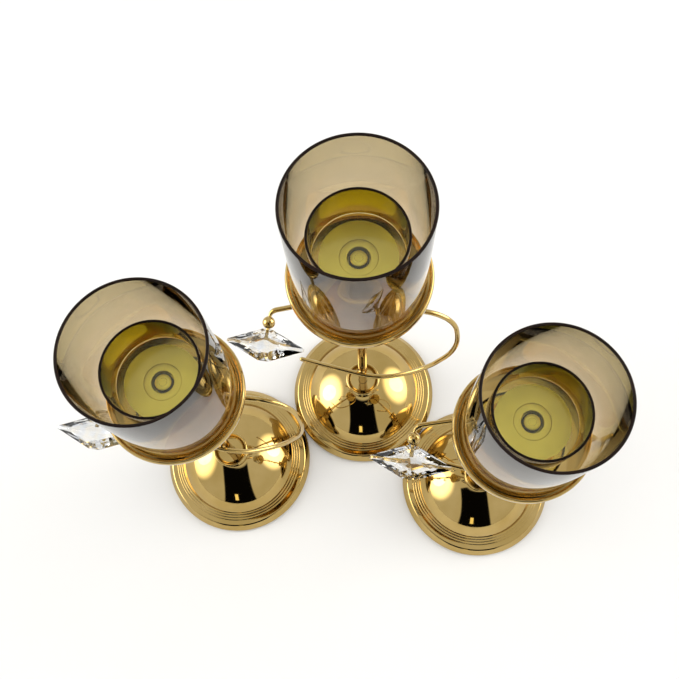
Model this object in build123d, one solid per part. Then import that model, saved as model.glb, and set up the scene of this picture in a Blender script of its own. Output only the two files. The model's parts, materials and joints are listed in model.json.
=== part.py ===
from build123d import *
import os
from math import atan2, cos, degrees, radians, sin, sqrt, tan

# Set of three tealight holder stands of different heights, standing base against base.
# Every stand has a domed base, a stem, a bent wire arm with a cut crystal at its end,
# and a round tray that carries a glass chimney around a raised glass tealight cup.
# Millimetres, +Z up, the origin is under the middle of the whole set, on the ground.

# Height of each stand from the ground to the rim of its chimney
STAND_HEIGHTS = {"tall": 310.0, "medium": 283.0, "short": 270.0}
# Direction in which the medium and the short stand stand from the tall one
MEDIUM_DIRECTION = 201.7
SHORT_DIRECTION = -46.5
STAND_GAP = 0.4

# Base: a spun brass shell with a rounded rim, three fine steps and a dome
BASE_DIAMETER = 103.4
RIM_EDGE = 1.4
RIM_WIDTH = 6.6
RIM_RISE = 4.6
RIM_BULGE_IN = 0.3
RIM_BULGE_UP = 0.74
STEP_COUNT = 3
STEP_WIDTH = 1.7
STEP_RISE = 1.0
DOME_RISE = 23.5
BASE_WALL = 1.4
PAD_PROUD = 0.5
PAD_THICKNESS = 2.0
PAD_INSET = 5.0
LAND_THICKNESS = 2.4

# Collar: a small turned cup on top of the dome, with a beaded edge
COLLAR_FOOT_DIAMETER = 21.0
COLLAR_WAIST_DIAMETER = 15.0
COLLAR_EDGE_DIAMETER = 23.4
COLLAR_HEIGHT = 12.0
COLLAR_BEAD = 1.8
COLLAR_DISH = 2.0
WAIST_START = 0.4
WAIST_END = 0.55

# Stem: a round rod with a thinner stud at each end, clamped by nuts
STEM_DIAMETER = 6.0
STUD_DIAMETER = 4.0
HOLE_CLEARANCE = 0.15
NUT_ACROSS_FLATS = 8.0
NUT_HEIGHT = 3.2
WASHER_DIAMETER = 17.0
WASHER_THICKNESS = 0.8
STUD_END = 1.0
CUTTER_EXCESS = 4

# Wire arm: one rigid bent wire, brazed to the front of the stem
WIRE_DIAMETER = 3.0
BRAZE_GAP = 0.05
ARM_HEIGHT = 71.0
TAIL_YAW = -21.0
TAIL_LENGTH = 42.0
LEAD_LENGTH = 13.0
TAIL_RISE = 4.0
LOOP_REACH = 58.0
LOOP_KNEE = 40.0
LOOP_KNEE_RISE = 15.0
LOOP_SIDE_RISE = 54.0
LOOP_TOP_REACH = 52.0
LOOP_TOP_RISE = 94.0
LOOP_FRONT = 9.5
LOOP_TOP_BACK = 1.0
CROSSING_REACH = -20.0
CROSSING_BACK = 14.5
RUN_SHARE = 0.45

# Hanger at the end of the arm: a pin through a ball, which holds the crystal
HANGER_REACH = 51.3
HANGER_BACK = 8.7
HANGER_RISE = 90.0
HANGER_YAW = -105.5
HANGER_SLOPE = -12.0
BALL_DIAMETER = 7.2
PIN_DIAMETER = 1.8
PIN_FIT = 0.05
PIN_IN_CRYSTAL = 5.0
NECK_LENGTH = 3.0
CRYSTAL_GAP = 0.3

# Crystal: a rhombic stone with a girdle, cut in two tiers on each face
CRYSTAL_LENGTH = 44.0
CRYSTAL_WIDTH = 18.0
CRYSTAL_THICKNESS = 9.0
CRYSTAL_GIRDLE = 1.2
CRYSTAL_TIP = 3.0
CRYSTAL_TIER = 0.62
CRYSTAL_TABLE = 0.24
CRYSTAL_TIER_SHARE = 0.62

# Tray: a stepped brass dish with a hub under its middle
TRAY_DIAMETER = 70.4
TRAY_FLOOR = 1.6
TRAY_LIP_HEIGHT = 3.4
TRAY_LIP_WIDTH = 2.0
TRAY_STEP_HEIGHT = 1.6
TRAY_HUB_DIAMETER = 16.0
TRAY_HUB_HEIGHT = 5.0
LIP_CREST_INNER = 0.8
LIP_CREST_OUTER = 0.3
LIP_SHOULDER = 0.7
HUB_TAPER = 0.75

# Glass chimney, glass cup and the spool that raises the cup
CHIMNEY_DIAMETER = 63.0
CHIMNEY_HEIGHT = 75.0
CHIMNEY_WALL = 2.0
SIDE_GAP = 0.3
SEAT_GAP = 0.1
CUP_DIAMETER = 45.0
CUP_HEIGHT = 24.0
CUP_WALL = 1.5
CUP_FLOOR = 1.8
SPOOL_HEIGHT = 23.0
SPOOL_FOOT_DIAMETER = 30.0
SPOOL_WAIST_DIAMETER = 15.0
SPOOL_HEAD_DIAMETER = 36.0
SPOOL_PLATE = 2.4
SPOOL_HEAD_DEPTH = 7.0
RECESS_DEPTH = 5.4
RECESS_CLEARANCE = 0.4

# Sizes that follow from the ones above
BASE_RADIUS = BASE_DIAMETER / 2
DOME_RADIUS = BASE_RADIUS - RIM_WIDTH - STEP_COUNT * STEP_WIDTH
DOME_FOOT = PAD_PROUD + RIM_EDGE + RIM_RISE + STEP_COUNT * STEP_RISE
DOME_SPHERE = (DOME_RADIUS ** 2 + DOME_RISE ** 2) / (2 * DOME_RISE)
DOME_CENTRE = DOME_FOOT + DOME_RISE - DOME_SPHERE
COLLAR_SEAT = DOME_CENTRE + sqrt(DOME_SPHERE ** 2 - (COLLAR_FOOT_DIAMETER / 2) ** 2)
LAND_LEVEL = COLLAR_SEAT - LAND_THICKNESS
STUD_HOLE = STUD_DIAMETER / 2 + HOLE_CLEARANCE
STEM_HOLE = STEM_DIAMETER / 2 + HOLE_CLEARANCE
CUP_SEAT = SPOOL_HEIGHT + SEAT_GAP


def revolved(points, edges=()):
    """A turned piece: closed profile of (radius, height) points, plus round beads."""
    face = make_face(Plane.XZ * Polyline(*points, close=True))
    for radius, height, bead in edges:
        face += Plane.XZ * Pos(radius, height) * Circle(bead)
    return revolve(face, Axis.Z)


def dome_face(sphere, centre, outer, inner, below):
    """Profile between a dome arc and the level under it, from outer to inner radius."""
    middle = (outer + inner) / 2
    low = centre + sqrt(sphere ** 2 - outer ** 2)
    high = centre + sqrt(sphere ** 2 - inner ** 2)
    arc = ThreePointArc((outer, low), (middle, centre + sqrt(sphere ** 2 - middle ** 2)), (inner, high))
    sides = Polyline((inner, high), (0, high), (0, below), (outer, below), (outer, low))
    return make_face(Plane.XZ * (arc + sides))


def base_shell():
    rim_top = PAD_PROUD + RIM_EDGE + RIM_RISE
    rim_inner = BASE_RADIUS - RIM_WIDTH
    rim_bulge = (BASE_RADIUS - RIM_WIDTH * RIM_BULGE_IN, PAD_PROUD + RIM_EDGE + RIM_RISE * RIM_BULGE_UP)
    rim_arc = ThreePointArc((BASE_RADIUS, PAD_PROUD + RIM_EDGE), rim_bulge, (rim_inner, rim_top))
    points = [(rim_inner, rim_top)]
    for step in range(STEP_COUNT):
        radius = rim_inner - step * STEP_WIDTH
        level = rim_top + (step + 1) * STEP_RISE
        points += [(radius, level), (radius - STEP_WIDTH, level)]
    points += [(0, DOME_FOOT), (0, PAD_PROUD), (BASE_RADIUS, PAD_PROUD)]
    points.append((BASE_RADIUS, PAD_PROUD + RIM_EDGE))
    foot = revolve(make_face(Plane.XZ * (rim_arc + Polyline(*points))), Axis.Z)
    outer_dome = dome_face(DOME_SPHERE, DOME_CENTRE, DOME_RADIUS, COLLAR_FOOT_DIAMETER / 2, PAD_PROUD)
    body = foot + revolve(outer_dome, Axis.Z)
    inner_sphere = DOME_SPHERE - BASE_WALL
    land_radius = sqrt(inner_sphere ** 2 - (LAND_LEVEL - DOME_CENTRE) ** 2)
    hollow = dome_face(inner_sphere, DOME_CENTRE, DOME_RADIUS - BASE_WALL, land_radius, PAD_PROUD)
    body -= revolve(hollow, Axis.Z)
    pad_pocket = Cylinder(pad_radius() + SIDE_GAP, PAD_THICKNESS, align=(Align.CENTER, Align.CENTER, Align.MIN))
    body -= pad_pocket
    return body - Cylinder(STUD_HOLE, CUTTER_EXCESS * COLLAR_SEAT)


def pad_radius():
    return BASE_RADIUS - PAD_INSET


def felt_pad():
    return Cylinder(pad_radius(), PAD_THICKNESS, align=(Align.CENTER, Align.CENTER, Align.MIN))


def washer(level, outer, thickness):
    ring = Cylinder(outer / 2, thickness, align=(Align.CENTER, Align.CENTER, Align.MIN))
    ring -= Cylinder(STUD_HOLE, CUTTER_EXCESS * thickness)
    return Pos(0, 0, level) * ring


def hex_nut(level):
    body = extrude(RegularPolygon(NUT_ACROSS_FLATS / 2, 6, major_radius=False), NUT_HEIGHT)
    body -= Cylinder(STUD_HOLE, CUTTER_EXCESS * NUT_HEIGHT)
    return Pos(0, 0, level) * body


def stem_collar():
    foot = COLLAR_FOOT_DIAMETER / 2
    waist = COLLAR_WAIST_DIAMETER / 2
    edge = COLLAR_EDGE_DIAMETER / 2 - COLLAR_BEAD / 2
    top = COLLAR_SEAT + COLLAR_HEIGHT - COLLAR_BEAD / 2
    dish = top - COLLAR_DISH
    points = [
        (STEM_HOLE, COLLAR_SEAT), (foot, COLLAR_SEAT), (foot, COLLAR_SEAT + COLLAR_BEAD),
        (waist, COLLAR_SEAT + COLLAR_HEIGHT * WAIST_START), (waist, COLLAR_SEAT + COLLAR_HEIGHT * WAIST_END),
        (edge, top), (edge - COLLAR_BEAD, dish), (STEM_HOLE, dish)]
    return revolved(points, [(edge, top, COLLAR_BEAD / 2)])


def tray_level(height):
    return height - CHIMNEY_HEIGHT - SEAT_GAP


def stem(height):
    hub_bottom = tray_level(height) - TRAY_FLOOR - TRAY_HUB_HEIGHT
    stud_top = recess_level(height) + WASHER_THICKNESS + NUT_HEIGHT + STUD_END
    stud_bottom = LAND_LEVEL - WASHER_THICKNESS - NUT_HEIGHT - STUD_END
    rod = Pos(0, 0, COLLAR_SEAT) * Cylinder(
        STEM_DIAMETER / 2, hub_bottom - COLLAR_SEAT, align=(Align.CENTER, Align.CENTER, Align.MIN))
    stud = Pos(0, 0, stud_bottom) * Cylinder(
        STUD_DIAMETER / 2, stud_top - stud_bottom, align=(Align.CENTER, Align.CENTER, Align.MIN))
    return rod + stud


def hanger_axis():
    flat = cos(radians(HANGER_SLOPE))
    return Vector(
        flat * cos(radians(HANGER_YAW)), flat * sin(radians(HANGER_YAW)), sin(radians(HANGER_SLOPE)))


def ball_centre():
    return Vector(-HANGER_REACH, HANGER_BACK, ARM_HEIGHT + HANGER_RISE)


def bend_radii(points):
    """The largest arc that each corner's two runs allow."""
    radii = []
    for before, corner, after in zip(points, points[1:], points[2:]):
        first = corner - before
        second = after - corner
        turn = radians(first.get_angle(second))
        radii.append(RUN_SHARE * min(first.length, second.length) / tan(turn / 2))
    return radii


def arm_points():
    """Corners of the wire: tail, braze on the stem, loop, crossing behind it, end."""
    along = Vector(cos(radians(TAIL_YAW)), sin(radians(TAIL_YAW)), 0)
    offset = STEM_DIAMETER / 2 + WIRE_DIAMETER / 2 + BRAZE_GAP
    touch = Vector(along.Y, -along.X, 0) * offset + Vector(0, 0, ARM_HEIGHT)
    return [
        touch - along * TAIL_LENGTH + Vector(0, 0, TAIL_RISE),
        touch + along * LEAD_LENGTH,
        Vector(LOOP_KNEE, -LOOP_FRONT, ARM_HEIGHT + LOOP_KNEE_RISE),
        Vector(LOOP_REACH, -LOOP_FRONT, ARM_HEIGHT + LOOP_SIDE_RISE),
        Vector(LOOP_TOP_REACH, -LOOP_TOP_BACK, ARM_HEIGHT + LOOP_TOP_RISE),
        Vector(CROSSING_REACH, CROSSING_BACK, ARM_HEIGHT + LOOP_TOP_RISE + TAIL_RISE),
        ball_centre() - hanger_axis() * (BALL_DIAMETER / 2 + NECK_LENGTH)]


def wire_arm():
    points = arm_points()
    path = FilletPolyline(*points, radius=bend_radii(points))
    start = Plane(origin=path @ 0, z_dir=path % 0)
    return sweep(start * Circle(WIRE_DIAMETER / 2), path=path)


def hanger_pin():
    """Pin from the end of the wire, through the ball, into the crystal."""
    axis = hanger_axis()
    start = ball_centre() - axis * (BALL_DIAMETER / 2 + NECK_LENGTH - WIRE_DIAMETER / 2)
    end = ball_centre() + axis * (BALL_DIAMETER / 2 + CRYSTAL_GAP + CRYSTAL_TIP / 2 + PIN_IN_CRYSTAL)
    plane = Plane(origin=start, z_dir=axis)
    return plane * Cylinder(
        PIN_DIAMETER / 2, (end - start).length, align=(Align.CENTER, Align.CENTER, Align.MIN))


def drop_ball():
    plane = Plane(origin=ball_centre(), z_dir=hanger_axis())
    return plane * (Sphere(BALL_DIAMETER / 2) - Cylinder(PIN_DIAMETER / 2 + PIN_FIT, 2 * BALL_DIAMETER))


def crystal_outline(scale):
    """The eight corners of the stone at one level: a rhombus with four short ends."""
    half_length = CRYSTAL_LENGTH / 2 * scale
    half_width = CRYSTAL_WIDTH / 2 * scale
    end = CRYSTAL_TIP / 2 * scale
    return Polyline(
        (half_length, -end / 2), (half_length, end / 2), (end * 2, half_width), (-end * 2, half_width),
        (-half_length, end / 2), (-half_length, -end / 2), (-end * 2, -half_width), (end * 2, -half_width),
        close=True)


def crystal():
    half_girdle = CRYSTAL_GIRDLE / 2
    crown = CRYSTAL_THICKNESS / 2 - half_girdle
    levels = [(1, half_girdle), (CRYSTAL_TIER, half_girdle + crown * CRYSTAL_TIER_SHARE),
              (CRYSTAL_TABLE, CRYSTAL_THICKNESS / 2)]
    stone = extrude(make_face(crystal_outline(1)), half_girdle, both=True)
    for (low_scale, low), (high_scale, high) in zip(levels, levels[1:]):
        tier = loft([Pos(0, 0, low) * make_face(crystal_outline(low_scale)),
                     Pos(0, 0, high) * make_face(crystal_outline(high_scale))], ruled=True)
        stone += tier
        stone += mirror(tier, Plane.XY)
    depth = PIN_IN_CRYSTAL + CRYSTAL_TIP
    bore = Pos(0, CRYSTAL_WIDTH / 2, 0) * Rot(90, 0, 0) * Cylinder(
        PIN_DIAMETER / 2 + PIN_FIT, depth, align=(Align.CENTER, Align.CENTER, Align.MIN))
    stone -= bore
    axis = hanger_axis()
    centre = ball_centre() + axis * (BALL_DIAMETER / 2 + CRYSTAL_GAP + CRYSTAL_WIDTH / 2)
    level_side = Vector(-axis.Y, axis.X, 0)
    return Plane(origin=centre, x_dir=level_side, z_dir=level_side.cross(axis * -1)) * stone


def tray(height):
    level = tray_level(height)
    edge = TRAY_DIAMETER / 2
    seat = CHIMNEY_DIAMETER / 2 + SIDE_GAP
    hub = TRAY_HUB_DIAMETER / 2
    bottom = level - TRAY_FLOOR
    points = [
        (STUD_HOLE, level), (seat, level), (seat, level + TRAY_STEP_HEIGHT),
        (edge - TRAY_LIP_WIDTH, level + TRAY_STEP_HEIGHT),
        (edge - TRAY_LIP_WIDTH * LIP_CREST_INNER, level + TRAY_LIP_HEIGHT),
        (edge - TRAY_LIP_WIDTH * LIP_CREST_OUTER, level + TRAY_LIP_HEIGHT),
        (edge, level + TRAY_LIP_HEIGHT * LIP_SHOULDER), (edge, level),
        (edge - TRAY_LIP_WIDTH, bottom), (hub, bottom),
        (hub * HUB_TAPER, bottom - TRAY_HUB_HEIGHT), (STUD_HOLE, bottom - TRAY_HUB_HEIGHT)]
    return revolved(points)


def recess_level(height):
    return tray_level(height) + SPOOL_HEIGHT - RECESS_DEPTH


def recess_radius():
    return WASHER_DIAMETER / 2 + RECESS_CLEARANCE


def cup_spool(height):
    """Spool that carries the cup, hollowed at the top for the washer and the nut."""
    level = tray_level(height)
    top = level + SPOOL_HEIGHT
    floor = recess_level(height)
    foot = SPOOL_FOOT_DIAMETER / 2
    waist = SPOOL_WAIST_DIAMETER / 2
    head = SPOOL_HEAD_DIAMETER / 2
    points = [
        (STUD_HOLE, level), (foot, level), (foot, level + SPOOL_PLATE), (waist, level + 2 * SPOOL_PLATE),
        (waist, top - SPOOL_HEAD_DEPTH - SPOOL_PLATE), (recess_radius() + SPOOL_PLATE, top - SPOOL_HEAD_DEPTH),
        (head, top - SPOOL_PLATE), (head, top), (recess_radius(), top), (recess_radius(), floor),
        (STUD_HOLE, floor)]
    return revolved(points)


def glass_chimney(height):
    level = tray_level(height) + SEAT_GAP
    outer = CHIMNEY_DIAMETER / 2
    tube = Cylinder(outer, CHIMNEY_HEIGHT, align=(Align.CENTER, Align.CENTER, Align.MIN))
    tube -= Cylinder(outer - CHIMNEY_WALL, CUTTER_EXCESS * CHIMNEY_HEIGHT)
    return Pos(0, 0, level) * tube


def glass_cup(height):
    level = tray_level(height) + CUP_SEAT
    outer = CUP_DIAMETER / 2
    cup = Cylinder(outer, CUP_HEIGHT, align=(Align.CENTER, Align.CENTER, Align.MIN))
    cup -= Pos(0, 0, CUP_FLOOR) * Cylinder(
        outer - CUP_WALL, CUP_HEIGHT, align=(Align.CENTER, Align.CENTER, Align.MIN))
    return Pos(0, 0, level) * cup


def stand_pieces(height):
    base_washer_level = LAND_LEVEL - WASHER_THICKNESS
    recess = recess_level(height)
    return {
        "base_shell": base_shell(),
        "felt_pad": felt_pad(),
        "base_washer": washer(base_washer_level, WASHER_DIAMETER, WASHER_THICKNESS),
        "base_nut": hex_nut(base_washer_level - NUT_HEIGHT),
        "stem_collar": stem_collar(),
        "stem": stem(height),
        "wire_arm": wire_arm(),
        "hanger_pin": hanger_pin(),
        "drop_ball": drop_ball(),
        "crystal": crystal(),
        "tray": tray(height),
        "cup_spool": cup_spool(height),
        "top_washer": washer(recess, WASHER_DIAMETER, WASHER_THICKNESS),
        "top_nut": hex_nut(recess + WASHER_THICKNESS),
        "glass_chimney": glass_chimney(height),
        "glass_cup": glass_cup(height)}


def stand_places():
    """Where each stem stands from the tall stand's stem, so that the bases nearly touch."""
    spacing = BASE_DIAMETER + STAND_GAP
    places = {"tall": Vector(0, 0, 0)}
    for name, direction in (("medium", MEDIUM_DIRECTION), ("short", SHORT_DIRECTION)):
        places[name] = Vector(spacing * cos(radians(direction)), spacing * sin(radians(direction)), 0)
    return places


def main():
    os.makedirs("parts", exist_ok=True)
    pieces = {}
    for name, place in stand_places().items():
        for piece, shape in stand_pieces(STAND_HEIGHTS[name]).items():
            pieces[name + "_" + piece] = Pos(place) * shape
    boxes = [shape.bounding_box(optimal=True) for shape in pieces.values()]
    middle = [(min(tuple(box.min)[side] for box in boxes)
               + max(tuple(box.max)[side] for box in boxes)) / 2 for side in range(2)]
    for name, shape in pieces.items():
        export_step(Pos(-middle[0], -middle[1], 0) * shape, "parts/" + name + ".step")
    print("stems stand at", [(name, round(place.X - middle[0], 3), round(place.Y - middle[1], 3))
                             for name, place in stand_places().items()])
    print("wire bend radii", [round(radius, 1) for radius in bend_radii(arm_points())])


main()
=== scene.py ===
import json
import math

import bmesh
import bpy
from mathutils import Matrix, Vector


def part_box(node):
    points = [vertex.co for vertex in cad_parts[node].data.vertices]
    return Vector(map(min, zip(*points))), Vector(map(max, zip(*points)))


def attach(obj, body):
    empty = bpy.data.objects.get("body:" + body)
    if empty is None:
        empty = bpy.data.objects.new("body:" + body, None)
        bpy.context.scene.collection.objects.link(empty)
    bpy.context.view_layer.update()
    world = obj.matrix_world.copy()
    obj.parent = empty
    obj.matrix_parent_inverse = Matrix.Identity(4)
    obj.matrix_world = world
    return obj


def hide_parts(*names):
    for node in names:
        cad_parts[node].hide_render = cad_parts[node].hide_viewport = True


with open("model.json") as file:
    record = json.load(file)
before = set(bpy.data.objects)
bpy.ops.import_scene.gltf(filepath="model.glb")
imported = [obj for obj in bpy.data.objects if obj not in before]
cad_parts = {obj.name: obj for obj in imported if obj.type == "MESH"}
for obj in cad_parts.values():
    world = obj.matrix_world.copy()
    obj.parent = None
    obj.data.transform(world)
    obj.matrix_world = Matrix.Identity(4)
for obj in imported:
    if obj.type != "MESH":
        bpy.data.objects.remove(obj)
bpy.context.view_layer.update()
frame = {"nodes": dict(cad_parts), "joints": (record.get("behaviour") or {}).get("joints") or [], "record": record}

# The looks of a set of three tealight holder stands, in metres.

MM = 0.001
STANDS = ("tall", "medium", "short")

# Camera: its place from the foot of the tall stand's stem, its turns in radians, its sensor in millimetres
PHOTO_SIDE = 679
FOCAL_PIXELS = 800.0
CAMERA_FROM_TALL = Vector((-0.012895, -0.139877, 0.587099))
CAMERA_TILT = 0.3037595
CAMERA_ROLL = -0.1209021
SENSOR = 36.0
NEAREST_VIEW = 0.01

# Base shell: outer foot, sloped rim, three fine steps, dome
BASE_RADIUS = 51.7 * MM
PAD_PROUD = 0.5 * MM
PAD_INSET = 4.9 * MM
PAD_THICKNESS = 2.0 * MM
FOOT_CHAMFER = 0.5 * MM
RIM_EDGE = 1.4 * MM
RIM_WIDTH = 6.6 * MM
RIM_SLOPE = 3.2 * MM
RIM_RISE = 4.6 * MM
EDGE_BELOW = 0.3 * MM
EDGE_IN = 0.3 * MM
EDGE_ABOVE = 0.4 * MM
SHOULDER_OUT = 0.5 * MM
SHOULDER_DROP = 0.7 * MM
SHOULDER_IN = 0.8 * MM
STEP_COUNT = 3
STEP_WIDTH = 1.7 * MM
STEP_RISE = 1.0 * MM
RISER_FOOT = 0.15 * MM
RISER_BULGE = 0.2 * MM
RISER_HEAD = 0.75 * MM
TREAD_END = 0.1 * MM
DOME_RISE = 23.5 * MM
DOME_WALL = 1.4 * MM
DOME_INSIDE_SHARE = 0.995
SEAT_THICKNESS = 2.0 * MM
SEAT_SLOPE = 0.4 * MM
STUD_HOLE = 2.15 * MM

# Collar on the dome: foot, waist, beaded edge with its angles in degrees, and the hollow inside
COLLAR_FOOT = 10.5 * MM
COLLAR_HEIGHT = 12.0 * MM
COLLAR_EDGE = 11.7 * MM
COLLAR_WAIST = 7.5 * MM
COLLAR_BEAD = 0.9 * MM
COLLAR_DISH = 2.0 * MM
STEM_RADIUS = 3.0 * MM
STEM_CLEARANCE = 0.15 * MM
FOOT_ROUND = 0.3 * MM
FOOT_BAND = 1.6 * MM
WAIST_DRAW = 0.6 * MM
WAIST_SHARE = 0.42
FLARE_IN = 0.2 * MM
FLARE_DROP = 0.9 * MM
BEAD_FIRST = -60
BEAD_TURN = 20
BEAD_POINTS = 13
THROAT_TOP = 1.1 * MM
THROAT_DROP = 0.6 * MM
THROAT_BEND = 1.6 * MM
THROAT_END = 3.0 * MM

# Tray: flat seat, step, lip and the hub below
TRAY_RADIUS = 35.2 * MM
TRAY_FLOOR = 1.6 * MM
TRAY_LIP_HEIGHT = 3.4 * MM
TRAY_LIP_WIDTH = 2.0 * MM
TRAY_STEP = 1.6 * MM
TRAY_SEAT = 31.8 * MM
TRAY_HUB = 8.0 * MM
TRAY_HUB_HEIGHT = 5.0 * MM
TRAY_ROUND = 0.35 * MM
LIP_CREST_INNER = 0.8
LIP_CREST_OUTER = 0.3
LIP_SHOULDER = 0.7
HUB_TAPER = 0.75
GLASS_ABOVE_SEAT = 0.1 * MM

# Glasses, and the washer and cap nut under the cup
CHIMNEY_WALL = 1.4 * MM
CHIMNEY_ROUND = 0.6 * MM
CUP_WALL = 1.2 * MM
CUP_FLOOR = 1.8 * MM
CUP_ROUND = 0.5 * MM
LIP_DEPTH = 1.0 * MM
WASHER_RADIUS = 8.85 * MM
WASHER_ROUND = 0.3 * MM
CAP_RADIUS = 4.6 * MM
CAP_WELL = 5.3 * MM
CAP_ROUND = 0.4 * MM
CAP_BEVEL = 1.0 * MM
CAP_CROWN = 0.2 * MM
# Width of the painted shade around the cap nut's edge
CAP_SHADE_BAND = 0.6 * MM
CAP_BASE_GAP = 0.1 * MM
STUD_COVER = 0.3 * MM
BELOW_SPOOL_TOP = 0.2 * MM

# Wire arm: places from the stem and heights from the braze's level, with the loop's corners in MM
# and the rounded tail as places and sizes in wire radii
WIRE_RADIUS = 1.5 * MM
NECK_RADIUS = 0.9 * MM
NECK_LENGTH = 3.0 * MM
NECK_START = 0.3
NECK_OVERLAP = 0.3 * MM
END_BEND = 4.0 * MM
END_STEPS = 14
ARM_HEIGHT = 71.0 * MM
TAIL_YAW = math.radians(-21.0)
TAIL_LENGTH = 42.0 * MM
LEAD_LENGTH = 13.0 * MM
TAIL_RISE = 4.0 * MM
TAIL_ROUND = ((0.0, 0.25), (0.3, 0.7), (0.8, 0.94))
TAIL_ROUND_END = 1.2
WIRE_OFFSET = 4.55 * MM
LOOP = ((40.0, -9.5, 15.0), (58.0, -9.5, 54.0), (52.0, -1.0, 94.0), (-20.0, 14.5, 98.0))
RUN_SHARE = 0.45
BRAZE_RADIUS = 2.3 * MM
BRAZE_SHARE = 0.45
BRAZE_HOLE = 0.02 * MM

# Bead and cut stone
BALL_RADIUS = 3.6 * MM
BALL_HOLE = 0.05 * MM
STONE_HALF_LENGTH = 22.0 * MM
STONE_HALF_WIDTH = 9.0 * MM
STONE_HALF_DEPTH = 4.5 * MM
STONE_GAP = 0.3 * MM
STONE_END = 0.75 * MM
STONE_SIDE_END = 3.0 * MM
STONE_LONG_EDGE = 7.0 * MM
GIRDLE_HALF = 0.5 * MM
TIER_SCALE = 0.66
TIER_DEPTH = 2.7 * MM
STAR_SCALE = 0.3
STAR_DEPTH = 4.1 * MM

# Fineness of the turned and bent pieces, with their sharp edges in degrees
TURNED_SIDES = 160
WASHER_SIDES = 96
SMALL_SIDES = 64
BRAZE_SIDES = 32
WIRE_SIDES = 24
ARC_STEPS = 20
EDGE_STEPS = 4
SHOULDER_STEPS = 6
RISER_STEPS = 5
THROAT_STEPS = 8
TRAY_CORNER_STEPS = 4
GLASS_CORNER_STEPS = 6
WASHER_CORNER_STEPS = 3
CAP_CORNER_STEPS = 4
FILLET_STEPS = 10
SHARP_ANGLE = 35.0
WIRE_SHARP_ANGLE = 60.0
FACET_ANGLE = 1.0
AXIS_RADIUS = 1e-6
ROUNDING_REACH = 0.4

# Colours, linear
GOLD_LIGHT = (0.53, 0.38, 0.145)
GOLD_DEEP = (0.45, 0.31, 0.10)
PALE_BRASS_LIGHT = (0.90, 0.76, 0.34)
PALE_BRASS_DEEP = (0.84, 0.70, 0.30)
STEEL_LIGHT = (0.62, 0.63, 0.66)
STEEL_DEEP = (0.42, 0.43, 0.45)
FELT_LIGHT = (0.04, 0.04, 0.042)
FELT_DEEP = (0.008, 0.008, 0.009)
# Dark brown of the glass lips, also used as painted shade on the cap nut's edge
LIP_AND_SHADE_LIGHT = (0.015, 0.007, 0.004)
LIP_AND_SHADE_DEEP = (0.006, 0.003, 0.002)
CRYSTAL_TINTS = ((0.35, (0.80, 0.84, 0.90)), (0.5, (0.88, 0.89, 0.90)), (0.62, (0.92, 0.88, 0.80)))
LUSTRE_TINTS = ((0.0, (0.97, 0.80, 0.60)), (0.45, (0.60, 0.49, 0.31)), (1.0, (0.53, 0.43, 0.25)))
LUSTRE_SHEEN = (1.0, 0.76, 0.58)
CUP_FLOOR_TINT = (1.0, 1.0, 0.58)
CUP_BAND_TINT = (0.42, 0.30, 0.05)
CUP_WALL_TINT = (0.47, 0.38, 0.015)
AMBER_TINTS = ((0.085, CUP_FLOOR_TINT), (0.10, CUP_BAND_TINT), (0.34, CUP_BAND_TINT), (0.40, CUP_WALL_TINT))
AMBER_SHEEN = (1.0, 0.95, 0.7)
FADED = 0.94
FLOOR_LIGHT = (0.79, 0.79, 0.79)
FLOOR_DEEP = (0.76, 0.76, 0.76)

# How strongly each clear material bends light
LUSTRE_IOR = 1.28
AMBER_IOR = 1.3
CRYSTAL_IOR = 1.75

# Studio: a white tent, bright at both sides, open and dark at the front, with one small bright spot there
FLOOR_HALF = 4.0
TENT = (0.92, 0.92, 0.92)
SIDE_GLOW = (5.2, 5.1, 4.8)
LEFT_GLOW = (-0.90, 0.14, 0.38)
RIGHT_GLOW = (0.90, 0.12, 0.38)
GLOW_FAR = 0.84
GLOW_NEAR = 0.97
OPENING = (0.004, 0.004, 0.005)
OPENING_X = (-0.50, 0.26, 0.03)
OPENING_Y = (-1.1, -0.20, 0.03)
OPENING_Z = (-0.3, 0.93, 0.02)
SPOT = (2.2, 2.0, 1.2)
SPOT_X = (-0.235, -0.155, 0.01)
SPOT_Z = (0.12, 0.34, 0.01)
TENT_STRENGTH = 0.92
LAMP_PLACES = (("left_box", (-0.82, 0.16, 0.38)), ("right_box", (0.84, 0.16, 0.38)))
LAMP_TARGET = (0, 0, 0.05)
LAMP_SIZE = (0.40, 0.50)
LAMP_WATTS = 1.4
LAMP_COLOUR = (1.0, 0.99, 0.96)


def centre_of(node):
    low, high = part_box(node)
    return (low + high) / 2


def lathe(name, centre, profile, body, material, sides=TURNED_SIDES):
    """A turned piece from a closed profile of (radius, height) points, as one clean mesh."""
    mesh = bmesh.new()
    turns = [2 * math.pi * side / sides for side in range(sides)]
    rings = []
    for radius, height in profile:
        if radius < AXIS_RADIUS:
            rings.append([mesh.verts.new((centre.x, centre.y, height))])
        else:
            rings.append([mesh.verts.new((centre.x + radius * math.cos(turn),
                                          centre.y + radius * math.sin(turn), height)) for turn in turns])
    for first, second in zip(rings, rings[1:] + rings[:1]):
        if len(first) == 1 and len(second) == 1:
            continue
        for side in range(sides):
            after = (side + 1) % sides
            if len(first) == 1:
                corners = (first[0], second[side], second[after])
            elif len(second) == 1:
                corners = (first[side], second[0], first[after])
            else:
                corners = (first[side], second[side], second[after], first[after])
            mesh.faces.new(corners)
    bmesh.ops.recalc_face_normals(mesh, faces=mesh.faces)
    return finished(name, mesh, body, material)


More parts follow.
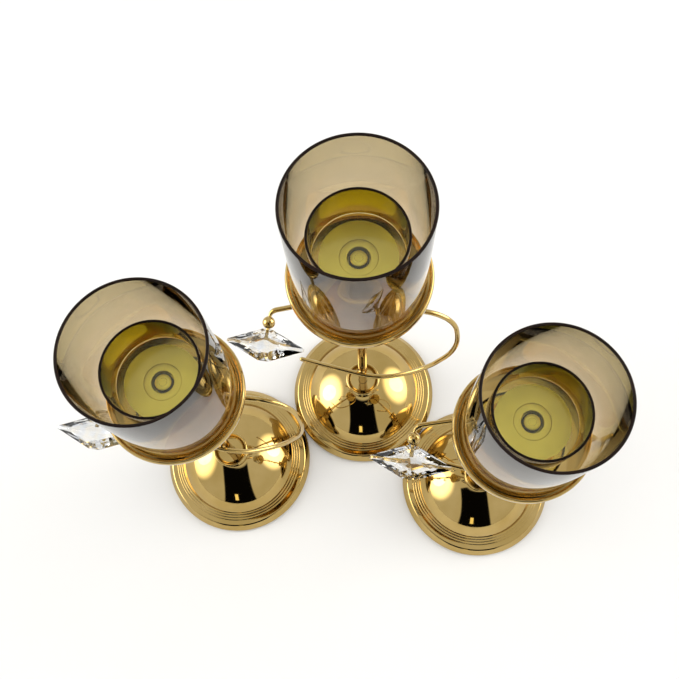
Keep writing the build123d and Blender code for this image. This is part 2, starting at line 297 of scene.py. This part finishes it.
def tube(name, path, radii, body, material):
    """A round rod along the path, with its own radius at each point and closed ends."""
    mesh = bmesh.new()
    normal = (path[1] - path[0]).normalized().orthogonal().normalized()
    rings = []
    for index, (point, radius) in enumerate(zip(path, radii)):
        ahead = (path[min(index + 1, len(path) - 1)] - path[max(index - 1, 0)]).normalized()
        normal = (normal - ahead * normal.dot(ahead)).normalized()
        across = ahead.cross(normal)
        rings.append([mesh.verts.new(point + (normal * math.cos(turn) + across * math.sin(turn)) * radius)
                      for turn in [2 * math.pi * side / WIRE_SIDES for side in range(WIRE_SIDES)]])
    for first, second in zip(rings, rings[1:]):
        for side in range(WIRE_SIDES):
            after = (side + 1) % WIRE_SIDES
            mesh.faces.new((first[side], first[after], second[after], second[side]))
    mesh.faces.new(rings[0])
    mesh.faces.new(rings[-1])
    bmesh.ops.recalc_face_normals(mesh, faces=mesh.faces)
    return finished(name, mesh, body, material, WIRE_SHARP_ANGLE)


def finished(name, mesh, body, material, sharp_angle=SHARP_ANGLE):
    """The mesh as a piece of the scene: smoothed, coloured, and riding on its body."""
    data = bpy.data.meshes.new(name)
    mesh.to_mesh(data)
    mesh.free()
    piece = bpy.data.objects.new(name, data)
    bpy.context.scene.collection.objects.link(piece)
    smooth(piece, sharp_angle)
    data.materials.append(material)
    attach(piece, body)
    return piece


def smooth(piece, sharp_angle):
    """Smooth shading, but for the edges that turn by more than sharp_angle degrees."""
    data = piece.data
    data.polygons.foreach_set("use_smooth", [True] * len(data.polygons))
    mesh = bmesh.new()
    mesh.from_mesh(data)
    for edge in mesh.edges:
        if len(edge.link_faces) == 2:
            edge.smooth = edge.calc_face_angle(0.0) < math.radians(sharp_angle)
    mesh.to_mesh(data)
    mesh.free()


def arc(first, bulge, last, steps=ARC_STEPS):
    """Points of a smooth curve from first to last that passes near bulge."""
    points = []
    for step in range(steps + 1):
        t = step / steps
        points.append(tuple(
            (1 - t) ** 2 * a + 2 * t * (1 - t) * b + t ** 2 * c for a, b, c in zip(first, bulge, last)))
    return points


def rounded(points, radius, steps):
    """The closed profile with each corner off the axis rounded by a small arc."""
    result = []
    count = len(points)
    for index, corner in enumerate(points):
        corner = Vector(corner)
        before = Vector(points[index - 1]) - corner
        after = Vector(points[(index + 1) % count]) - corner
        if corner.x < AXIS_RADIUS:
            result.append(tuple(corner))
            continue
        reach = min(radius, before.length * ROUNDING_REACH, after.length * ROUNDING_REACH)
        start = corner + before.normalized() * reach
        end = corner + after.normalized() * reach
        result += arc(tuple(start), tuple(corner), tuple(end), steps)
    return result


class Tree:
    """Short calls to add and join the nodes of a material or of the world."""

    def __init__(self, tree):
        self.tree = tree

    def add(self, kind, **values):
        node = self.tree.nodes.new(kind)
        for key, value in values.items():
            setattr(node, key, value)
        return node

    def join(self, source, target):
        self.tree.links.new(source, target)

    def map(self, source, low, high, from_low=0.0, from_high=1.0, **values):
        node = self.add("ShaderNodeMapRange", **values)
        node.inputs["From Min"].default_value = from_low
        node.inputs["From Max"].default_value = from_high
        node.inputs["To Min"].default_value = low
        node.inputs["To Max"].default_value = high
        self.join(source, node.inputs["Value"])
        return node.outputs["Result"]

    def mix(self, factor, first, second):
        node = self.add("ShaderNodeMix", data_type="RGBA")
        self.join(factor, node.inputs["Factor"])
        for socket, value in ((node.inputs[6], first), (node.inputs[7], second)):
            if isinstance(value, tuple):
                socket.default_value = (*value, 1.0)
            else:
                self.join(value, socket)
        return node.outputs[2]

    def times(self, first, second):
        node = self.add("ShaderNodeMath", operation="MULTIPLY")
        self.join(first, node.inputs[0])
        self.join(second, node.inputs[1])
        return node.outputs["Value"]


class Nodes(Tree):
    """A material's node tree."""

    def __init__(self, name, **uniform):
        self.material = bpy.data.materials.new(name)
        self.material.use_nodes = True
        super().__init__(self.material.node_tree)
        self.shader = self.tree.nodes["Principled BSDF"]
        self.place = self.add("ShaderNodeTexCoord").outputs["Object"]
        for socket, value in uniform.items():
            self.shader.inputs[socket.replace("_", " ")].default_value = value

    def noise(self, scale, detail=3.0, roughness=0.5):
        node = self.add("ShaderNodeTexNoise")
        node.inputs["Scale"].default_value = scale
        node.inputs["Detail"].default_value = detail
        node.inputs["Roughness"].default_value = roughness
        self.join(self.place, node.inputs["Vector"])
        return node.outputs["Fac"]

    def ramp(self, source, stops):
        node = self.add("ShaderNodeValToRGB")
        ramp = node.color_ramp
        while len(ramp.elements) < len(stops):
            ramp.elements.new(0.5)
        for element, (position, colour) in zip(ramp.elements, stops):
            element.position = position
            element.color = (*colour, 1.0)
        self.join(source, node.inputs["Fac"])
        return node.outputs["Color"]

    def height(self):
        node = self.add("ShaderNodeSeparateXYZ")
        self.join(self.place, node.inputs["Vector"])
        return node.outputs["Z"]

    def bump(self, source, strength, distance):
        node = self.add("ShaderNodeBump")
        node.inputs["Strength"].default_value = strength
        node.inputs["Distance"].default_value = distance
        self.join(source, node.inputs["Height"])
        self.join(node.outputs["Normal"], self.shader.inputs["Normal"])

    def colour(self, source):
        self.join(source, self.shader.inputs["Base Color"])

    def roughness(self, source):
        self.join(source, self.shader.inputs["Roughness"])


class Sky(Tree):
    """The world's node tree, coloured by direction."""

    def __init__(self, world):
        world.use_nodes = True
        super().__init__(world.node_tree)
        self.background = self.tree.nodes["Background"]
        self.direction = self.add("ShaderNodeTexCoord").outputs["Generated"]
        split = self.add("ShaderNodeSeparateXYZ")
        self.join(self.direction, split.inputs["Vector"])
        self.x, self.y, self.z = split.outputs

    def between(self, source, low, high, soft):
        """1 from low to high, with soft ends, and 0 outside."""
        rise = self.map(source, 0.0, 1.0, low, low + soft)
        fall = self.map(source, 1.0, 0.0, high, high + soft)
        return self.times(rise, fall)

    def glow(self, towards):
        """1 around the direction, falling softly to 0."""
        dot = self.add("ShaderNodeVectorMath", operation="DOT_PRODUCT")
        self.join(self.direction, dot.inputs[0])
        dot.inputs[1].default_value = Vector(towards).normalized()
        return self.map(dot.outputs["Value"], 0.0, 1.0, GLOW_FAR, GLOW_NEAR, interpolation_type="SMOOTHSTEP")


def gold():
    """Mirror-bright brass plate with faint clouding and a slight waviness."""
    nodes = Nodes("polished_brass", Metallic=1.0)
    nodes.colour(nodes.ramp(nodes.noise(38.0), [(0.35, GOLD_DEEP), (0.65, GOLD_LIGHT)]))
    nodes.roughness(nodes.map(nodes.noise(120.0, 5.0), 0.025, 0.075))
    nodes.bump(nodes.noise(60.0, 2.0), 0.03, 0.0004)
    return nodes.material


def pale_brass():
    """Softly brushed light brass under the cup, which shows as its plain yellow floor."""
    nodes = Nodes("pale_brass", Metallic=1.0)
    nodes.colour(nodes.ramp(nodes.noise(60.0), [(0.35, PALE_BRASS_DEEP), (0.65, PALE_BRASS_LIGHT)]))
    nodes.roughness(nodes.map(nodes.noise(150.0, 4.0), 0.42, 0.52))
    return nodes.material


def steel():
    """Zinc plated steel of the hidden fixings."""
    nodes = Nodes("zinc_steel", Metallic=1.0)
    nodes.colour(nodes.ramp(nodes.noise(300.0), [(0.3, STEEL_DEEP), (0.7, STEEL_LIGHT)]))
    nodes.roughness(nodes.map(nodes.noise(500.0), 0.25, 0.4))
    return nodes.material


def felt():
    """Black felt with a fine pile."""
    nodes = Nodes("black_felt", Sheen_Weight=0.4, Roughness=0.95)
    pile = nodes.noise(2600.0, 6.0, 0.7)
    nodes.colour(nodes.ramp(pile, [(0.3, FELT_DEEP), (0.7, FELT_LIGHT)]))
    nodes.bump(pile, 0.5, 0.0004)
    return nodes.material


def tinted_glass(name, node, tints, sheen, ior):
    """Glass tinted in zones up its height, with a coloured lustre and faint clouding."""
    low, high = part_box(node)
    nodes = Nodes(name, Transmission_Weight=1.0, IOR=ior, Specular_Tint=(*sheen, 1.0),
                  Coat_Weight=0.3, Coat_IOR=1.7, Coat_Roughness=0.02)
    cloud = nodes.noise(45.0, 2.0)
    up = nodes.map(nodes.height(), 0.0, 1.0, low.z, high.z)
    body = nodes.ramp(up, tints)
    faded = nodes.ramp(up, [(at, tuple(FADED * part for part in tint)) for at, tint in tints])
    nodes.colour(nodes.mix(nodes.map(cloud, 0.0, 1.0, 0.35, 0.7), body, faded))
    nodes.roughness(nodes.map(cloud, 0.0, 0.03))
    return nodes.material


def lip_glass_and_shade():
    """Deep brown edge of the tinted glass, where the light runs along the wall; on the cap nut the same brown is
    painted shade, the shadow of the well around the nut.
    """
    nodes = Nodes("brown_lip_and_shade", Roughness=0.3, Specular_IOR_Level=0.12)
    nodes.colour(nodes.ramp(nodes.noise(90.0), [(0.3, LIP_AND_SHADE_DEEP), (0.7, LIP_AND_SHADE_LIGHT)]))
    return nodes.material


def crystal_glass():
    """Clear lead crystal with a trace of colour play in its facets."""
    nodes = Nodes("cut_crystal", Transmission_Weight=1.0, IOR=CRYSTAL_IOR, Roughness=0.0)
    nodes.colour(nodes.ramp(nodes.noise(240.0, 1.0), CRYSTAL_TINTS))
    return nodes.material


def all_materials():
    materials = {"gold": gold(), "steel": steel(), "felt": felt(), "crystal": crystal_glass(),
                 "lip_and_shade": lip_glass_and_shade(), "pale": pale_brass()}
    for stand in STANDS:
        materials[stand + "_lustre"] = tinted_glass(
            stand + "_lustre_glass", stand + "_glass_chimney", LUSTRE_TINTS, LUSTRE_SHEEN, LUSTRE_IOR)
        materials[stand + "_amber"] = tinted_glass(
            stand + "_amber_glass", stand + "_glass_cup", AMBER_TINTS, AMBER_SHEEN, AMBER_IOR)
    return materials


def rim_points(rim_top, rim_inner):
    """From the pad's edge out, up the sloped rim and over the three steps."""
    edge = PAD_PROUD + RIM_EDGE
    shoulder = BASE_RADIUS - RIM_SLOPE
    points = [(BASE_RADIUS - PAD_INSET, PAD_PROUD), (BASE_RADIUS - FOOT_CHAMFER, PAD_PROUD),
              (BASE_RADIUS, PAD_PROUD + FOOT_CHAMFER)]
    points += arc((BASE_RADIUS, edge - EDGE_BELOW), (BASE_RADIUS, edge),
                  (BASE_RADIUS - EDGE_IN, edge + EDGE_ABOVE), EDGE_STEPS)
    points += arc((shoulder + SHOULDER_OUT, rim_top - SHOULDER_DROP), (shoulder, rim_top),
                  (shoulder - SHOULDER_IN, rim_top), SHOULDER_STEPS)
    for step in range(STEP_COUNT):
        radius = rim_inner - step * STEP_WIDTH
        level = rim_top + step * STEP_RISE
        tread = level + STEP_RISE
        points += arc((radius - RISER_FOOT, level), (radius - RISER_BULGE, tread),
                      (radius - RISER_HEAD, tread), RISER_STEPS)
        points.append((radius - STEP_WIDTH + TREAD_END, tread))
    return points


def base_profile():
    """The shell's closed outline, and the height of the seat on top of its dome."""
    rim_top = PAD_PROUD + RIM_EDGE + RIM_RISE
    rim_inner = BASE_RADIUS - RIM_WIDTH
    dome_radius = rim_inner - STEP_COUNT * STEP_WIDTH
    dome_foot = rim_top + STEP_COUNT * STEP_RISE
    sphere = (dome_radius ** 2 + DOME_RISE ** 2) / (2 * DOME_RISE)
    middle = dome_foot + DOME_RISE - sphere
    points = rim_points(rim_top, rim_inner)
    first = math.asin(dome_radius / sphere)
    last = math.asin(COLLAR_FOOT / sphere)
    for step in range(3 * ARC_STEPS + 1):
        angle = first + (last - first) * step / (3 * ARC_STEPS)
        points.append((sphere * math.sin(angle), middle + sphere * math.cos(angle)))
    seat = points[-1][1]
    under_seat = seat - SEAT_THICKNESS
    points += [(STUD_HOLE, seat), (STUD_HOLE, under_seat), (COLLAR_FOOT, under_seat - SEAT_SLOPE)]
    inner = sphere - DOME_WALL
    for step in range(ARC_STEPS + 1):
        angle = last + (first - last) * step / ARC_STEPS
        points.append((inner * math.sin(angle) * DOME_INSIDE_SHARE, middle + inner * math.cos(angle)))
    points.append((points[-1][0], PAD_PROUD + PAD_THICKNESS))
    points.append((BASE_RADIUS - PAD_INSET, PAD_PROUD + PAD_THICKNESS))
    return points, seat


def collar_profile(seat):
    top = seat + COLLAR_HEIGHT - COLLAR_BEAD
    edge = COLLAR_EDGE - COLLAR_BEAD
    dish = top - COLLAR_DISH
    hole = STEM_RADIUS + STEM_CLEARANCE
    points = [(hole, seat), (COLLAR_FOOT - FOOT_ROUND, seat), (COLLAR_FOOT, seat + FOOT_ROUND)]
    waist = (COLLAR_WAIST - WAIST_DRAW, seat + COLLAR_HEIGHT * WAIST_SHARE)
    points += arc((COLLAR_FOOT, seat + FOOT_BAND), waist, (edge - FLARE_IN, top - FLARE_DROP))
    for step in range(BEAD_POINTS):
        angle = math.radians(BEAD_FIRST + BEAD_TURN * step)
        points.append((edge + COLLAR_BEAD * math.cos(angle), top + COLLAR_BEAD * math.sin(angle)))
    points += arc((edge - THROAT_TOP, top - THROAT_DROP), (edge - THROAT_BEND, dish),
                  (edge - THROAT_END, dish), THROAT_STEPS)
    points.append((hole, dish))
    return points


def tray_profile(level):
    edge = TRAY_RADIUS
    bottom = level - TRAY_FLOOR
    hub_bottom = bottom - TRAY_HUB_HEIGHT
    return rounded([
        (STUD_HOLE, level), (TRAY_SEAT, level), (TRAY_SEAT, level + TRAY_STEP),
        (edge - TRAY_LIP_WIDTH, level + TRAY_STEP),
        (edge - TRAY_LIP_WIDTH * LIP_CREST_INNER, level + TRAY_LIP_HEIGHT),
        (edge - TRAY_LIP_WIDTH * LIP_CREST_OUTER, level + TRAY_LIP_HEIGHT),
        (edge, level + TRAY_LIP_HEIGHT * LIP_SHOULDER), (edge, level), (edge - TRAY_LIP_WIDTH, bottom),
        (TRAY_HUB, bottom), (TRAY_HUB * HUB_TAPER, hub_bottom), (STUD_HOLE, hub_bottom)
    ], TRAY_ROUND, TRAY_CORNER_STEPS)


def sphere_profile(middle, radius, hole):
    """A ball around its axis, with a small hole along it."""
    start = math.asin(hole / radius)
    count = 2 * ARC_STEPS
    angles = [start + (math.pi - 2 * start) * step / count for step in range(count + 1)]
    return [(radius * math.sin(angle), middle + radius * math.cos(angle)) for angle in angles]


def glass_profile(outer, wall, low, high, corner, floor=None):
    """A straight tube, or a cup where it has a floor."""
    inner = outer - wall
    if floor is None:
        points = [(inner, low), (outer, low), (outer, high), (inner, high)]
    else:
        inside = low + floor
        points = [(0.0, low), (outer, low), (outer, high), (inner, high), (inner, inside), (0.0, inside)]
    return rounded(points, corner, GLASS_CORNER_STEPS)


def base_and_collar(stand, stem, materials):
    profile, seat = base_profile()
    shell = lathe(stand + "_spun_shell", stem, profile, "stands", materials["gold"])
    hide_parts(stand + "_base_shell")
    collar = lathe(stand + "_turned_collar", stem, collar_profile(seat), "stands",
                   materials["gold"])
    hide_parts(stand + "_stem_collar")


def turned_tray(stand, stem, materials):
    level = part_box(stand + "_glass_chimney")[0].z - GLASS_ABOVE_SEAT
    tray = lathe(stand + "_turned_tray", stem, tray_profile(level), "stands",
                 materials["gold"])
    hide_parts(stand + "_tray")


def darken(piece, material, is_dark):
    """Gives the second material to every face whose centre passes the test."""
    piece.data.materials.append(material)
    for face in piece.data.polygons:
        if is_dark(face.center):
            face.material_index = 1


def chimney_glass(stand, stem, materials):
    low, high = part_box(stand + "_glass_chimney")
    profile = glass_profile((high.x - low.x) / 2, CHIMNEY_WALL, low.z, high.z, CHIMNEY_ROUND)
    chimney = lathe(stand + "_chimney_glass", stem, profile, stand + "_chimney",
                    materials[stand + "_lustre"])
    darken(chimney, materials["lip_and_shade"], lambda place: place.z > high.z - LIP_DEPTH)
    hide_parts(stand + "_glass_chimney")


def cup_glass(stand, stem, materials):
    low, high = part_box(stand + "_glass_cup")
    profile = glass_profile((high.x - low.x) / 2, CUP_WALL, low.z, high.z, CUP_ROUND, CUP_FLOOR)
    cup = lathe(stand + "_cup_glass", stem, profile, stand + "_cup",
                materials[stand + "_amber"])
    darken(cup, materials["lip_and_shade"], lambda place: place.z > high.z - LIP_DEPTH)
    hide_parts(stand + "_glass_cup")


def washer_and_cap(stand, stem, materials):
    """What shows through the cup's floor: a flat washer, and a round nut whose outer edge is painted dark as the
    shade of the well around it.
    """
    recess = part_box(stand + "_top_washer")[0].z
    spool_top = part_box(stand + "_cup_spool")[1].z
    top = spool_top - BELOW_SPOOL_TOP
    flat = [(CAP_WELL, recess), (WASHER_RADIUS, recess), (WASHER_RADIUS, top), (CAP_WELL, top)]
    washer = lathe(stand + "_raised_washer", stem, rounded(flat, WASHER_ROUND, WASHER_CORNER_STEPS), "stands",
                   materials["pale"], WASHER_SIDES)
    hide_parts(stand + "_top_washer")
    crown = min(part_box(stand + "_stem")[1].z + STUD_COVER, spool_top - STUD_COVER)
    foot = recess + CAP_BASE_GAP
    domed = [(0.0, foot), (CAP_RADIUS, foot), (CAP_RADIUS, crown - CAP_BEVEL),
             (CAP_RADIUS - CAP_BEVEL, crown - CAP_CROWN), (0.0, crown)]
    cap = lathe(stand + "_cap_nut", stem, rounded(domed, CAP_ROUND, CAP_CORNER_STEPS), "stands",
                materials["pale"], SMALL_SIDES)
    # The nut's outer band gets the dark brown: painted shade of the well it sits in
    darken(cap, materials["lip_and_shade"],
           lambda place: math.hypot(place.x - stem.x, place.y - stem.y) > CAP_RADIUS - CAP_SHADE_BAND)
    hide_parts(stand + "_top_nut")


def hanger_axis(stand):
    """The direction from the bead into the stone."""
    joint = [one for one in frame["joints"] if one["name"] == stand + "_crystal_turn"][0]
    return Vector(joint["axis"]).normalized()


def filleted(corners, steps=FILLET_STEPS):
    """The polyline through the corners, each bend a circular arc."""
    path = [corners[0]]
    for before, corner, after in zip(corners, corners[1:], corners[2:]):
        first, second = before - corner, after - corner
        reach = RUN_SHARE * min(first.length, second.length)
        half = first.angle(second) / 2
        radius = reach * math.tan(half)
        inward = (first.normalized() + second.normalized()).normalized()
        middle = corner + inward * (reach / math.cos(half))
        start = (corner + first.normalized() * reach - middle).normalized()
        end = (corner + second.normalized() * reach - middle).normalized()
        path += [middle + start.slerp(end, step / steps) * radius for step in range(steps + 1)]
    path.append(corners[-1])
    return path


def wire_arm(stand, stem, materials):
    """The bent wire: rounded tail, braze, loop, crossing, and the bend down into the bead."""
    place = Vector((stem.x, stem.y, 0))
    level = Vector((0, 0, ARM_HEIGHT))
    along = Vector((math.cos(TAIL_YAW), math.sin(TAIL_YAW), 0))
    outward = Vector((along.y, -along.x, 0))
    touch = place + outward * WIRE_OFFSET + level
    axis = hanger_axis(stand)
    ball = centre_of(stand + "_drop_ball")
    corners = [touch - along * TAIL_LENGTH + Vector((0, 0, TAIL_RISE)), touch + along * LEAD_LENGTH]
    corners += [place + Vector(corner) * MM + level for corner in LOOP]
    corners.append(ball - axis * (BALL_RADIUS + NECK_LENGTH))
    path = filleted(corners)
    tail = (path[1] - path[0]).normalized()
    round_end = [path[0] + tail * (share * WIRE_RADIUS) for share, _ in TAIL_ROUND]
    last = path[-1]
    path = round_end + [path[0] + tail * TAIL_ROUND_END * WIRE_RADIUS] + path[1:-1]
    radii = [WIRE_RADIUS * size for _, size in TAIL_ROUND] + [WIRE_RADIUS] * (len(path) - len(TAIL_ROUND))
    run = (last - path[-1]).normalized()
    bend_start = last - run * END_BEND
    bend_end = ball - axis * (BALL_RADIUS - NECK_OVERLAP)
    path += [Vector(point) for point in arc(tuple(bend_start), tuple(last), tuple(bend_end), END_STEPS)]
    for step in range(END_STEPS + 1):
        share = max(0.0, step / END_STEPS - NECK_START) / (1 - NECK_START)
        radii.append(WIRE_RADIUS + (NECK_RADIUS - WIRE_RADIUS) * share)
    wire = tube(stand + "_bent_wire", path, radii, "stands", materials["gold"])
    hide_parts(stand + "_wire_arm")
    joint_at = touch - outward * (WIRE_OFFSET * BRAZE_SHARE)
    lathe(stand + "_braze", joint_at, sphere_profile(joint_at.z, BRAZE_RADIUS, BRAZE_HOLE), "stands",
          materials["gold"], BRAZE_SIDES)


def bead(stand, materials):
    ball_at = centre_of(stand + "_drop_ball")
    ball = lathe(stand + "_bead", ball_at, sphere_profile(ball_at.z, BALL_RADIUS, BALL_HOLE), "stands",
                 materials["gold"], SMALL_SIDES)
    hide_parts(stand + "_drop_ball")


def halfway(points):
    """The middles of a closed outline's sides."""
    sides = zip(points, points[1:] + points[:1])
    return [tuple((a + b) / 2 for a, b in zip(first, second)) for first, second in sides]


def stone_outline(scale):
    """The rhombus with four short ends, its long sides divided in the middle."""
    end, side_end = STONE_END * scale, STONE_SIDE_END * scale
    length, width = STONE_HALF_LENGTH * scale, STONE_HALF_WIDTH * scale
    corners = [(length, -end), (length, end), (side_end, width), (-side_end, width),
               (-length, end), (-length, -end), (-side_end, -width), (side_end, -width)]
    points = []
    for corner, after, middle in zip(corners, corners[1:] + corners[:1], halfway(corners)):
        points.append(corner)
        if math.dist(corner, after) > STONE_LONG_EDGE * scale:
            points.append(middle)
    return points


def cut_stone(stand, materials):
    """A rhombic stone: facets in tiers from the girdle to a point in the middle, on both faces."""
    axis = hanger_axis(stand)
    side = Vector((-axis.y, axis.x, 0)).normalized()
    up = side.cross(-axis)
    centre = centre_of(stand + "_drop_ball") + axis * (BALL_RADIUS + STONE_GAP + STONE_HALF_WIDTH)
    mesh = bmesh.new()

    def ring(points, depth):
        return [mesh.verts.new(centre + side * x - axis * y + up * depth) for x, y in points]

    girdle_low = ring(stone_outline(1.0), -GIRDLE_HALF)
    girdle_high = ring(stone_outline(1.0), GIRDLE_HALF)
    count = len(girdle_low)
    for index in range(count):
        after = (index + 1) % count
        mesh.faces.new((girdle_low[index], girdle_low[after], girdle_high[after], girdle_high[index]))
    for girdle, sign in ((girdle_low, -1), (girdle_high, 1)):
        tier = ring(halfway(stone_outline(TIER_SCALE)), sign * TIER_DEPTH)
        star = ring(stone_outline(STAR_SCALE), sign * STAR_DEPTH)
        tip = mesh.verts.new(centre + up * sign * STONE_HALF_DEPTH)
        for index in range(count):
            after = (index + 1) % count
            before = (index - 1) % count
            mesh.faces.new((girdle[index], girdle[after], tier[index]))
            mesh.faces.new((tier[before], girdle[index], tier[index]))
            mesh.faces.new((tier[before], tier[index], star[index]))
            mesh.faces.new((star[index], tier[index], star[after]))
            mesh.faces.new((star[index], star[after], tip))
    bmesh.ops.recalc_face_normals(mesh, faces=mesh.faces)
    stone = finished(stand + "_stone", mesh, stand + "_crystal_drop", materials["crystal"],
                     FACET_ANGLE)
    stone.data.polygons.foreach_set("use_smooth", [False] * len(stone.data.polygons))
    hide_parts(stand + "_crystal")


def dress_stand(stand, materials):
    stem = centre_of(stand + "_stem")
    base_and_collar(stand, stem, materials)
    turned_tray(stand, stem, materials)
    chimney_glass(stand, stem, materials)
    cup_glass(stand, stem, materials)
    washer_and_cap(stand, stem, materials)
    wire_arm(stand, stem, materials)
    bead(stand, materials)
    cut_stone(stand, materials)


def dress_nodes(materials):
    """Materials of the CAD nodes that stay in the picture."""
    slots = {"polished_gold": "gold", "steel": "steel", "black_felt": "felt"}
    for entry in frame["record"]["subparts"]:
        node = frame["nodes"][entry["node"]]
        material = materials.get(slots.get(entry["material_slot"]))
        if entry["node"].endswith("_cup_spool"):
            material = materials["pale"]
        if material:
            node.data.materials.clear()
            node.data.materials.append(material)
            node.data.polygons.foreach_set("use_smooth", [True] * len(node.data.polygons))


def lamp(name, place):
    light = bpy.data.lights.new(name, "AREA")
    light.shape = "ELLIPSE"
    light.size, light.size_y = LAMP_SIZE
    light.energy = LAMP_WATTS
    light.color = LAMP_COLOUR
    obj = bpy.data.objects.new(name, light)
    obj.location = place
    obj.rotation_euler = (Vector(LAMP_TARGET) - obj.location).to_track_quat("-Z", "Y").to_euler()
    bpy.context.scene.collection.objects.link(obj)


def studio():
    world = bpy.data.worlds.new("studio")
    bpy.context.scene.world = world
    sky = Sky(world)
    colour = sky.mix(sky.glow(LEFT_GLOW), TENT, SIDE_GLOW)
    colour = sky.mix(sky.glow(RIGHT_GLOW), colour, SIDE_GLOW)
    front = sky.times(sky.between(sky.x, *OPENING_X), sky.between(sky.y, *OPENING_Y))
    opening = sky.times(front, sky.between(sky.z, *OPENING_Z))
    spot = sky.times(sky.times(sky.between(sky.x, *SPOT_X), sky.between(sky.z, *SPOT_Z)), front)
    colour = sky.mix(spot, sky.mix(opening, colour, OPENING), SPOT)
    sky.join(colour, sky.background.inputs["Color"])
    sky.background.inputs["Strength"].default_value = TENT_STRENGTH
    for name, place in LAMP_PLACES:
        lamp(name, place)


def floor():
    mesh = bmesh.new()
    corners = [(-1, -1), (1, -1), (1, 1), (-1, 1)]
    mesh.faces.new([mesh.verts.new((x * FLOOR_HALF, y * FLOOR_HALF, 0.0)) for x, y in corners])
    data = bpy.data.meshes.new("floor")
    mesh.to_mesh(data)
    mesh.free()
    sheet = bpy.data.objects.new("floor", data)
    bpy.context.scene.collection.objects.link(sheet)
    nodes = Nodes("pale_floor", Roughness=0.9)
    nodes.colour(nodes.ramp(nodes.noise(3.0), [(0.3, FLOOR_DEEP), (0.7, FLOOR_LIGHT)]))
    data.materials.append(nodes.material)


def camera():
    """The photograph's camera: tilted forward from straight down, then rolled."""
    data = bpy.data.cameras.new("camera")
    data.sensor_width = SENSOR
    data.lens = FOCAL_PIXELS / PHOTO_SIDE * SENSOR
    data.clip_start = NEAREST_VIEW
    obj = bpy.data.objects.new("camera", data)
    bpy.context.scene.collection.objects.link(obj)
    stem = centre_of("tall_stem")
    obj.location = Vector((stem.x, stem.y, 0)) + CAMERA_FROM_TALL
    forward = Vector((0, math.sin(CAMERA_TILT), -math.cos(CAMERA_TILT)))
    level_up = Vector((0, math.cos(CAMERA_TILT), math.sin(CAMERA_TILT)))
    level_right = Vector((1, 0, 0))
    right = level_right * math.cos(CAMERA_ROLL) + level_up * math.sin(CAMERA_ROLL)
    up = level_up * math.cos(CAMERA_ROLL) - level_right * math.sin(CAMERA_ROLL)
    obj.rotation_euler = Matrix((right, up, -forward)).transposed().to_euler()
    bpy.context.scene.camera = obj


def main():
    camera()
    materials = all_materials()
    dress_nodes(materials)
    for stand in STANDS:
        dress_stand(stand, materials)
    floor()
    studio()
    bpy.context.scene.view_settings.view_transform = "Standard"


main()
